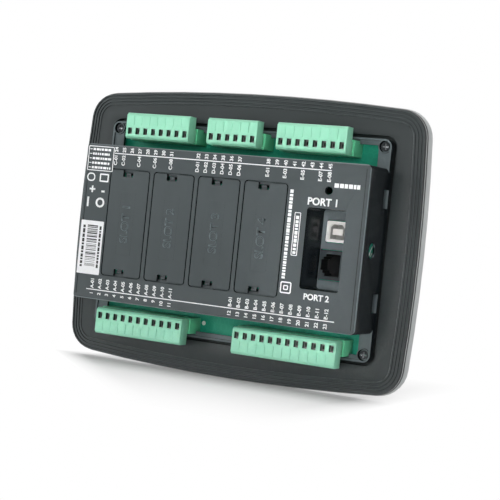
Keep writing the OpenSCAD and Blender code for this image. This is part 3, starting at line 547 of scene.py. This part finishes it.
# %% [markdown]
# ## Dressing the solids
# Every solid names the material slot it takes. Pieces inside the case keep their own mesh and only get
# their finish. The outer pieces also need soft edges: no moulded edge is sharp, and the thin bright line
# along it is what makes plastic look real. Each gets a merged copy, flat faces are joined again, and a
# bevel breaks the edges.

# %% Selecting by code
EDGE_MM = {
    "rear_housing": 0.15, "mounting_flange": 0.12, "panel_gasket": 0.26, "front_bezel": 0.25,
    "case_screws": 0.12, "data_port_shell": 0.15, "data_port_insert": 0.2, "network_jack": 0.25,
    "facia_film": 0.1, "display_rim": 0.15,
}
GROUP_EDGE_MM = {"option_cover": 0.2, "plug_screws": 0.1, "plug": 0.1, "header": 0.2, "key": 0.35}
KEPT_INSIDE = ("plug_clamps", "header_pins", "key_switches")
SHARP = radians(35)
SMOOTH = radians(32)
FLAT = radians(0.5)
WELD_MM = 0.002


def only(piece):
    """Selects one object and makes it active, because operators act on all that is selected."""
    bpy.ops.object.select_all(action="DESELECT")
    piece.select_set(True)
    bpy.context.view_layer.objects.active = piece


def edge_of(node):
    """How far the edges of a node are broken, in millimetres, or 0 where it keeps its own mesh."""
    if node in EDGE_MM or node.startswith(KEPT_INSIDE):
        return EDGE_MM.get(node, 0)
    return next((size for group, size in GROUP_EDGE_MM.items() if node.startswith(group)), 0)


print("edges broken on", sum(edge_of(n) > 0 for n in nodes), "nodes")


# %% Copies with broken edges
def eased_copy(node, width_mm):
    """A merged copy of a solid with its sharp edges bevelled, which stands for it."""
    source = nodes[node]
    piece = bpy.data.objects.new(node + "_eased", source.data.copy())
    bpy.context.scene.collection.objects.link(piece)
    only(piece)
    bpy.ops.mesh.customdata_custom_splitnormals_clear()
    bpy.ops.object.mode_set(mode="EDIT")
    bpy.ops.mesh.select_all(action="SELECT")
    bpy.ops.mesh.remove_doubles(threshold=WELD_MM * MM)
    bpy.ops.mesh.dissolve_limited(angle_limit=FLAT)
    bpy.ops.object.mode_set(mode="OBJECT")
    bevel = piece.modifiers.new("edge", "BEVEL")
    bevel.limit_method = "ANGLE"
    bevel.angle_limit = SHARP
    bevel.width = width_mm * MM
    bevel.segments = 2
    bevel.use_clamp_overlap = False
    bpy.ops.object.modifier_apply(modifier=bevel.name)
    bpy.ops.object.shade_smooth_by_angle(angle=SMOOTH)
    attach(piece, source["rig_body"])
    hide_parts(node)
    return piece


def coat(piece, material):
    """Gives a new piece its material."""
    piece.data.materials.clear()
    piece.data.materials.append(material)


slot_of = {s["node"]: s["material_slot"] for s in frame["record"]["subparts"]}
for name, node in nodes.items():
    finish = finishes[name if name in finishes else slot_of[name]]
    if edge_of(name):
        coat(eased_copy(name, edge_of(name)), finish)
    else:
        node.material_slots[0].material = finish
print("dressed", len(slot_of), "nodes")

# %% [markdown]
# ## White print on the platform
# The terminals are numbered in white ink, with a thin rule between the numbers and the codes. Ink is a
# film with hardly any thickness, so all of it is drawn flat first, in the plane of the back view, with u
# to the right and v up. Then it gets its thickness and is stood up on the platform in one move.

# %% Drawing flat
LETTER_MM = 2.1
CAP_SHARE = 0.73
BOLD_SHARE = 0.042


def bar(u_low, v_low, u_high, v_high):
    """A flat bar between two corners, in millimetres."""
    middle = Vector(((u_low + u_high) / 2, (v_low + v_high) / 2, 0)) * MM
    bpy.ops.mesh.primitive_plane_add(size=1, location=middle)
    made = bpy.context.object
    made.scale = (abs(u_high - u_low) * MM, abs(v_high - v_low) * MM, 1)
    bpy.ops.object.transform_apply(location=True, rotation=True, scale=True)
    return made


def frame_line(u_low, v_low, u_high, v_high, line, corner):
    """A flat outline with round corners: a bar cut at its corners, inset and hollowed."""
    made = bar(u_low, v_low, u_high, v_high)
    bpy.ops.object.mode_set(mode="EDIT")
    bpy.ops.mesh.select_all(action="SELECT")
    bpy.ops.mesh.bevel(offset=corner * MM, segments=5, affect="VERTICES")
    bpy.ops.mesh.inset(thickness=line * MM)
    bpy.ops.mesh.delete(type="FACE")
    bpy.ops.object.mode_set(mode="OBJECT")
    return made


def words(text, u, v, height=LETTER_MM, turned=True, align="LEFT"):
    """Flat letters. Turned ones read upwards, as along the terminals."""
    bpy.ops.object.text_add(location=(0, 0, 0))
    made = bpy.context.object
    made.data.body = text
    made.data.size = height * MM / CAP_SHARE
    made.data.offset = BOLD_SHARE * height * MM
    made.data.resolution_u = 4
    made.data.align_x = align
    made.data.align_y = "CENTER"
    bpy.ops.object.convert(target="MESH")
    made = bpy.context.object
    spin = Matrix.Rotation(pi / 2 if turned else 0, 4, "Z")
    made.data.transform(Matrix.Translation(Vector((u, v, 0)) * MM) @ spin)
    return made


print("letters are", LETTER_MM, "mm high")

# %% Standing a drawing up
INK_MM = 0.04
INK_WELD_MM = 0.0005


def back_at(y):
    """Stands a flat drawing up on a face that looks back."""
    return Matrix(((-1, 0, 0, 0), (0, 0, 1, y), (0, 1, 0, 0), (0, 0, 0, 1)))


def front_at(y):
    """Stands it up on a face that looks to the front."""
    return Matrix(((1, 0, 0, 0), (0, 0, -1, y), (0, 1, 0, 0), (0, 0, 0, 1)))


def side_at(x):
    """Stands it up on a face that looks to the right of the back view."""
    return Matrix(((0, 0, -1, x), (-1, 0, 0, 0), (0, 1, 0, 0), (0, 0, 0, 1)))


def stood_up(shapes, name, stand, thickness_mm):
    """Joins flat shapes, gives them their thickness and stands them on a face of the controller."""
    bpy.ops.object.select_all(action="DESELECT")
    for shape in shapes:
        shape.select_set(True)
    piece = shapes[0]
    bpy.context.view_layer.objects.active = piece
    if len(shapes) > 1:
        bpy.ops.object.join()
    piece.name = name
    bpy.ops.object.mode_set(mode="EDIT")
    bpy.ops.mesh.select_all(action="SELECT")
    bpy.ops.mesh.remove_doubles(threshold=INK_WELD_MM * MM)
    bpy.ops.mesh.normals_make_consistent(inside=False)
    bpy.ops.object.mode_set(mode="OBJECT")
    if sum(p.normal.z for p in piece.data.polygons) < 0:
        piece.data.flip_normals()
    wall = piece.modifiers.new("wall", "SOLIDIFY")
    wall.thickness = thickness_mm * MM
    wall.offset = 1
    bpy.ops.object.modifier_apply(modifier=wall.name)
    piece.data.transform(stand)
    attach(piece, "case")
    return piece


platform_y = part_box("rear_housing")[1].y
print("print goes on at y =", round(platform_y, 4))

# %% [markdown]
# ## Ink
# Screen-printed ink is matt and a little uneven: the mesh of the screen leaves it thinner in places. A
# mask in the plastic's material could print it as well, but a thin film of its own keeps sharp edges.


# %% Inks
def ink(name, colour, rough=0.5):
    """Matt ink that lies thinner in places."""
    material, shader, start = new_material(name)
    thin = noise(start, size_mm=0.8, detail=3)
    feed(start, shader, "Base Color", thin.tint(shaded(colour, 0.9), colour))
    feed(start, shader, "Roughness", rough + ROUGH_SWING * thin)
    return material


white_ink = ink("white_ink", tone(244, 246, 246))
black_ink = ink("black_ink", tone(24, 24, 26))
print("inks:", white_ink.name, black_ink.name)

# %% Terminal numbers, codes and rules
TOP_RULE = 38.6
LOW_RULE = -37.8
RULE_MM = 0.5
RULE_GAP = 0.5
NUMBER_GAP = 1.1
TOP_ENDS = (-67.5, 64.6)
LOW_ENDS = (-77.6, 74.6)
TOP_CODED = {1: (0, 1, 3, 5, 7), 2: (0, 1, 2, 3, 4, 5), 3: (0, 2, 4, 6, 7)}

shapes = [bar(TOP_ENDS[0], TOP_RULE, TOP_ENDS[1], TOP_RULE + RULE_MM),
          bar(LOW_ENDS[0], LOW_RULE - RULE_MM, LOW_ENDS[1], LOW_RULE)]
number = 0
for plug, letter in zip((4, 5, 1, 2, 3), "ABCDE"):
    for i, u in enumerate(poles(plug)):
        number += 1
        code = f"{letter}-{i + 1:02d}"
        if plug > 3:
            shapes.append(words(str(number), u, LOW_RULE - RULE_MM - NUMBER_GAP, align="RIGHT"))
            shapes.append(words(code, u, LOW_RULE + RULE_GAP))
        else:
            shapes.append(words(str(number), u, TOP_RULE + RULE_MM + RULE_GAP))
            if i in TOP_CODED[plug]:
                shapes.append(words(code, u, TOP_RULE - RULE_GAP, align="RIGHT"))
terminal_print = stood_up(shapes, "terminal_print", back_at(platform_y), INK_MM)
coat(terminal_print, white_ink)
print("numbered", number, "terminals")

# %% [markdown]
# ## The rest of the print
# Small blocks of lines, a few plain signs and the names of the two ports fill the margins of the
# platform. Lines of text that are too small to read are drawn as rows of short bars, the way a layout is
# sketched. The lengths come from a seeded draw, so they are the same on each run.

# %% Lines of small text
draw = random.Random(12)
WORD_MM = (0.7, 2.6)
SPACE_MM = (0.35, 0.6)
SHORTEST_MM = 0.5


def text_line(low, high, across, height, upright=False):
    """A row of short bars that stands for a line of small text."""
    made = []
    at = low
    while at < high - SHORTEST_MM:
        end = min(at + draw.uniform(*WORD_MM), high)
        corners = (across - height / 2, at, across + height / 2, end)
        made.append(bar(*corners) if upright else bar(corners[1], corners[0], corners[3], corners[2]))
        at = end + draw.uniform(*SPACE_MM)
    return made


print("words of small text are", WORD_MM, "mm long")

# %% Margins of the platform
BOX = (-85, 28.3, -68, 42.2)
BOX_ROWS = 5
ROW_MM = 2.55
FIRST_ROW = 1.9
DASH_SPAN = (0.9, 2.4)
DASH_MM = 0.4
RING = (-84.4, 22.3, -79, 27)
SQUARE = (-76, 22.3, -70, 27)
TAG = (46.3, -6.6, 49.9, 16)
OUTER_SQUARE = (42.2, -26.6, 48.6, -20.4)
INNER_SQUARE = (44, -24.8, 46.8, -22.2)
PLAIN_SIGNS = {"+  -": (-77, 17.6, 5.2), "I  O": (-77.2, 10.4, 5.4)}
PORT_NAMES = {"PORT 1": (61.6, 22.2, 3.9), "PORT 2": (63.2, -27, 3.2)}

shapes = [frame_line(*BOX, line=0.45, corner=0.6)]
for row in range(BOX_ROWS):
    v = BOX[3] - FIRST_ROW - row * ROW_MM
    shapes.append(bar(BOX[0] + DASH_SPAN[0], v - DASH_MM / 2, BOX[0] + DASH_SPAN[1], v + DASH_MM / 2))
    shapes += text_line(BOX[0] + 3, BOX[2] - 1.6 - (row % 2), v, 1.25)
shapes.append(frame_line(*RING, line=0.7, corner=2.2))
shapes.append(frame_line(*SQUARE, line=0.8, corner=0.4))
for sign, (u, v, height) in PLAIN_SIGNS.items():
    shapes.append(words(sign, u, v, height, turned=False, align="CENTER"))
shapes += text_line(-19, 27.5, across=43.4, height=1.9, upright=True)
shapes.append(frame_line(*TAG, line=0.4, corner=0.5))
shapes += text_line(-5.6, 15, across=48.1, height=1.7, upright=True)
shapes.append(frame_line(*OUTER_SQUARE, line=0.7, corner=1))
shapes.append(frame_line(*INNER_SQUARE, line=0.6, corner=0.6))
for sign, (u, v, height) in PORT_NAMES.items():
    shapes.append(words(sign, u, v, height, turned=False, align="CENTER"))
shapes += text_line(67, 81.2, across=31.5, height=2.2)
margin_print = stood_up(shapes, "margin_print", back_at(platform_y), INK_MM)
coat(margin_print, white_ink)
print("margins hold", len(margin_print.data.polygons), "faces of ink")

# %% [markdown]
# ## The paper label
# A white label is stuck on the left margin. It carries a strip of bars, as labels from a store do, and
# two columns of small text. The bars come from the same seeded draw and stand for nothing. The paper is a
# plate of its own, because its thickness gives it an edge that catches light.

# %% Paper
LABEL = (-85.2, -29.8, -70.2, 0.2)
LABEL_MM = 0.1
LABEL_CORNER_MM = 0.5


def paper(name):
    """White paper with a little fibre."""
    material, shader, start = new_material(name)
    fibre = noise(start, size_mm=1.2, detail=5)
    feed(start, shader, "Base Color", fibre.tint(tone(226, 227, 229), tone(238, 239, 241)))
    feed(start, shader, "Roughness", 0.62 + ROUGH_SWING * fibre)
    grain(start, shader, fibre, depth_mm=0.02)
    return material


plate = bar(*LABEL)
bpy.ops.object.mode_set(mode="EDIT")
bpy.ops.mesh.select_all(action="SELECT")
bpy.ops.mesh.bevel(offset=LABEL_CORNER_MM * MM, segments=3, affect="VERTICES")
bpy.ops.object.mode_set(mode="OBJECT")
label = stood_up([plate], "paper_label", back_at(platform_y), LABEL_MM)
coat(label, paper("label_paper"))
print("label is", LABEL[2] - LABEL[0], "by", LABEL[3] - LABEL[1], "mm")

# %% Strip of bars
STRIP = (-80.6, -25.2, -73.8, -2.8)
BAR_MM = (0.25, 0.25, 0.5, 0.75)
BAR_GAP_MM = (0.3, 0.3, 0.55, 0.8)
COLUMN = (-26, -2.5)

shapes = []
at = STRIP[1]
while at < STRIP[3]:
    thick = draw.choice(BAR_MM)
    shapes.append(bar(STRIP[0], at, STRIP[2], at + thick))
    at += thick + draw.choice(BAR_GAP_MM)
print("the strip has", len(shapes), "bars")
shapes += text_line(*COLUMN, across=-82.8, height=1.5, upright=True)
shapes += text_line(*COLUMN, across=-72, height=1.3, upright=True)
label_bars = stood_up(shapes, "label_bars", back_at(platform_y + LABEL_MM * MM), INK_MM)
coat(label_bars, black_ink)

# %% [markdown]
# ## Raised names on the slot covers
# Each option slot is closed by a snap-in cover with its name raised in the plastic, inside a faint
# outline. The letters have the colour of the cover, so only their edges show. They are drawn flat like
# the ink, and get more height than ink has.

# %% Slot names
RAISED_MM = 0.1
NAME_MM = 5
OUTLINE = (9.6, 35.4)
for slot_number in range(1, 5):
    low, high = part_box(f"option_cover_{slot_number}")
    u = -(low.x + high.x) / 2 / MM
    v = (low.z + high.z) / 2 / MM
    letters = words(f"SLOT {slot_number}", u, v, NAME_MM, align="CENTER")
    raised = stood_up([letters], f"slot_name_{slot_number}", back_at(platform_y), RAISED_MM)
    coat(raised, finishes["housing_black"])
    half_u = OUTLINE[0] / 2
    half_v = OUTLINE[1] / 2
    ring = frame_line(u - half_u, v - half_v, u + half_u, v + half_v, line=0.35, corner=0.8)
    raised = stood_up([ring], f"slot_outline_{slot_number}", back_at(platform_y), RAISED_MM / 2)
    coat(raised, finishes["housing_black"])
print("slot names stand", RAISED_MM, "mm proud")

# %% [markdown]
# ## Marks on the boards
# Circuit boards carry a white print of their own, and bare pads of tin. A little of both shows: strokes
# on the small board behind the hole in the side, and one pad in the lower trough.

# %% Strokes and a pad
side_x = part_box("side_board")[0].x
board_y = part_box("main_board")[1].y
PAD_AT = (-17.3, -50.7, 0)
PAD_R_MM = 1.2


def stroke(start, end, thick):
    """A flat slanted bar from one point to another, in millimetres."""
    along = Vector(end) - Vector(start)
    made = bar(-along.length / 2, -thick / 2, along.length / 2, thick / 2)
    middle = ((Vector(start) + Vector(end)) / 2 * MM).to_3d()
    spin = Matrix.Rotation(atan2(along.y, along.x), 4, "Z")
    made.data.transform(Matrix.Translation(middle) @ spin)
    return made


shapes = [stroke((-12.9, -3.2), (-11.6, -0.8), 1.1), stroke((-11.6, -0.6), (-9, 2.4), 0.6)]
shapes.append(stroke((-10.6, -3), (-9, -1.2), 0.5))
coat(stood_up(shapes, "side_board_marks", side_at(side_x), INK_MM), white_ink)
bpy.ops.mesh.primitive_circle_add(vertices=24, radius=PAD_R_MM * MM, fill_type="NGON")
pad = bpy.context.object
pad.data.transform(Matrix.Translation(Vector(PAD_AT) * MM))
solder = metal("solder", tone(236, 236, 230), 0.4, share=0.2)
coat(stood_up([pad], "board_pad", back_at(board_y), INK_MM), solder)
print("marks lie on", round(side_x, 4), "and", round(board_y, 4))

# %% [markdown]
# ## Signs on the front
# The front faces the operator. The film round the display has thin white lines, the mode keys have plain
# switch signs, and each arrow key has a triangle. A sign rides on the body of its key, so that it goes in
# with the key.

# %% Signs on the keys
key_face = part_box("key_stop")[0].y
KEY_SIGNS = {"key_stop": "O", "key_run": "I", "key_auto": "AUTO", "key_test": "TEST"}
ARROW_TURNS = {"key_up": 0, "key_left": 90, "key_down": 180, "key_right": 270}
WORD_SIGN_MM = 4.5
LONE_SIGN_MM = 6
ARROW_R_MM = 3


def middle_of(node):
    """The middle of a node in the plane of the panel, in millimetres."""
    low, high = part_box(node)
    return (low.x + high.x) / 2 / MM, (low.z + high.z) / 2 / MM


def key_sign(node, shape):
    """Prints a flat shape on a key, which it then travels with."""
    piece = stood_up([shape], node + "_sign", front_at(key_face), INK_MM)
    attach(piece, node + "_body")
    coat(piece, white_ink if slot_of[node] in ("key_red", "key_green") else black_ink)


for node, sign in KEY_SIGNS.items():
    u, v = middle_of(node)
    height = WORD_SIGN_MM if len(sign) > 1 else LONE_SIGN_MM
    key_sign(node, words(sign, u, v, height, turned=False, align="CENTER"))
for node, degrees in ARROW_TURNS.items():
    u, v = middle_of(node)
    bpy.ops.mesh.primitive_circle_add(vertices=3, radius=ARROW_R_MM * MM, fill_type="NGON")
    triangle = bpy.context.object
    spin = Matrix.Rotation(radians(degrees), 4, "Z")
    triangle.data.transform(Matrix.Translation(Vector((u, v, 0)) * MM) @ spin)
    key_sign(node, triangle)
print("front signs:", len(KEY_SIGNS) + len(ARROW_TURNS))

# %% Lines on the film
film_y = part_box("facia_film")[0].y
WINDOW_OUT = 1
KEY_LINE_OUT = (3, 3.4)

low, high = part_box("display_pane")
low_corner = (low.x / MM - WINDOW_OUT, low.z / MM - WINDOW_OUT)
high_corner = (high.x / MM + WINDOW_OUT, high.z / MM + WINDOW_OUT)
lines = [frame_line(*low_corner, *high_corner, line=0.5, corner=2)]
for node in KEY_SIGNS:
    low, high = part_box(node)
    edge = high.z / MM
    lines.append(bar(low.x / MM, edge + KEY_LINE_OUT[0], high.x / MM, edge + KEY_LINE_OUT[1]))
coat(stood_up(lines, "facia_lines", front_at(film_y), INK_MM), white_ink)
print("lines on the film:", len(lines))

# %% [markdown]
# ## Studio
# The controller stands on a white table in soft light. The table keeps the shadow close to the object
# and fades to plain white further off, and sooner on the side that most of the light comes from. The
# distance from the footprint, in metres, steers that fade.
#
# A wide light hangs above the far side, two stand on the camera's side, one fills from the right, and one
# shines on the table, which throws it back from below. A low strip lifts the bottom row of terminals, and
# a small spot reaches into the port well.

# %% Floor
floor_z = cad_box[0].z
FOOT_HALF = abs(cad_box[0].y) / 2
CONTACT = 0.035
FADE_TO = 0.135
FADE_SIDE = (0.09, 0.112)
SHADOW_MIDDLE = 0.014
CONTACT_LIFT = 0.15
SHADOW_LIFT = 0.62
FLOOR_R = 1.6
FLOOR_PAINT = (0.92, 0.92, 0.92, 1)
PURE_WHITE = (1, 1, 1, 1)


def seen_directly(start):
    """1 for the camera's rays, also after glass or a shiny face, and 0 for diffuse light."""
    direct = start.node("ShaderNodeLightPath", out="Is Camera Ray")
    shiny = start.node("ShaderNodeLightPath", out="Is Glossy Ray")
    through = start.node("ShaderNodeLightPath", out="Is Transmission Ray")
    return start.math("MAXIMUM", direct, start.math("MAXIMUM", shiny, through))


bpy.ops.mesh.primitive_circle_add(
    vertices=96, radius=FLOOR_R, fill_type="NGON", location=(0, 0, floor_z))
floor = bpy.context.object
floor.name = "floor"
material = bpy.data.materials.new("floor_white")
material.use_nodes = True
tree = material.node_tree
start = Signal(tree)
tree.nodes.remove(tree.nodes["Principled BSDF"])
place = start.node("ShaderNodeTexCoord", out="Object")
along = start.node("ShaderNodeSeparateXYZ", None, {"Vector": place}, out="X")
out = start.node("ShaderNodeSeparateXYZ", None, {"Vector": place}, out="Y")
away = start.math("ABSOLUTE", out + FOOT_HALF) - FOOT_HALF
sideways = start.math("ABSOLUTE", along - SHADOW_MIDDLE)
beside = start.math("MAXIMUM", sideways, along + away).between(*FADE_SIDE)
paint = start.node("ShaderNodeBsdfDiffuse", None, {"Color": FLOOR_PAINT})
plain = start.node("ShaderNodeEmission", None, {"Color": PURE_WHITE, "Strength": 1.0})
lift = CONTACT_LIFT + (SHADOW_LIFT - CONTACT_LIFT) * away.between(0, CONTACT)
kept = (1 - lift) * (1 - away.between(CONTACT, FADE_TO)) * (1 - beside)
fade = (1 - kept) * seen_directly(start)
mixed = start.node("ShaderNodeMixShader", None, {0: fade, 1: paint, 2: plain})
tree.links.new(mixed.socket, tree.nodes["Material Output"].inputs["Surface"])
floor.data.materials.append(material)
print("floor lies at z =", round(floor_z, 4))

# %% World
WORLD_DIM = 0.34
world = bpy.data.worlds.new("studio")
bpy.context.scene.world = world
world.use_nodes = True
tree = world.node_tree
start = Signal(tree)
tree.nodes.remove(tree.nodes["Background"])
dim = start.node("ShaderNodeBackground", None, {"Color": PURE_WHITE, "Strength": WORLD_DIM})
white = start.node("ShaderNodeBackground", None, {"Color": PURE_WHITE, "Strength": 1.0})
mixed = start.node("ShaderNodeMixShader", None, {0: seen_directly(start), 1: dim, 2: white})
tree.links.new(mixed.socket, tree.nodes["World Output"].inputs["Surface"])
print("world made")


# %% Soft lights
def softbox(name, place, aim, width, height, watts, spread=180):
    """A flat lamp that looks from a place at a point. A small spread in degrees is a narrow beam."""
    data = bpy.data.lights.new(name, "AREA")
    data.shape = "RECTANGLE"
    data.size = width
    data.size_y = height
    data.energy = watts
    data.spread = radians(spread)
    lamp = bpy.data.objects.new(name, data)
    bpy.context.scene.collection.objects.link(lamp)
    back = (Vector(place) - Vector(aim)).normalized()
    lamp.matrix_world = Matrix.Translation(place) @ back.to_track_quat("Z", "Y").to_matrix().to_4x4()


softbox("top_light", (0.1, -0.35, 1.0), (0, 0, 0), 0.9, 0.6, 4.0)
softbox("key_light", (0.75, 0.95, 0.24), (0, 0, 0), 0.5, 0.2, 2.1)
softbox("front_light", (-0.35, 1.06, 0.18), (0, 0, 0), 0.4, 0.2, 2.0)
softbox("right_fill", (-0.9, 0.6, 0.16), (0, 0, 0), 0.6, 0.35, 0.85)
softbox("table_light", (0.0, 0.7, 0.7), (0.0, 0.7, 0), 1.2, 0.5, 14.0, spread=60)
softbox("low_light", (0.4, 1.0, -0.055), (0, 0.02, -0.062), 0.3, 0.02, 0.011, spread=5)
softbox("port_light", (-0.27, 1.0, -0.04), (-0.064, 0.01, -0.008), 0.05, 0.05, 0.008, spread=6)
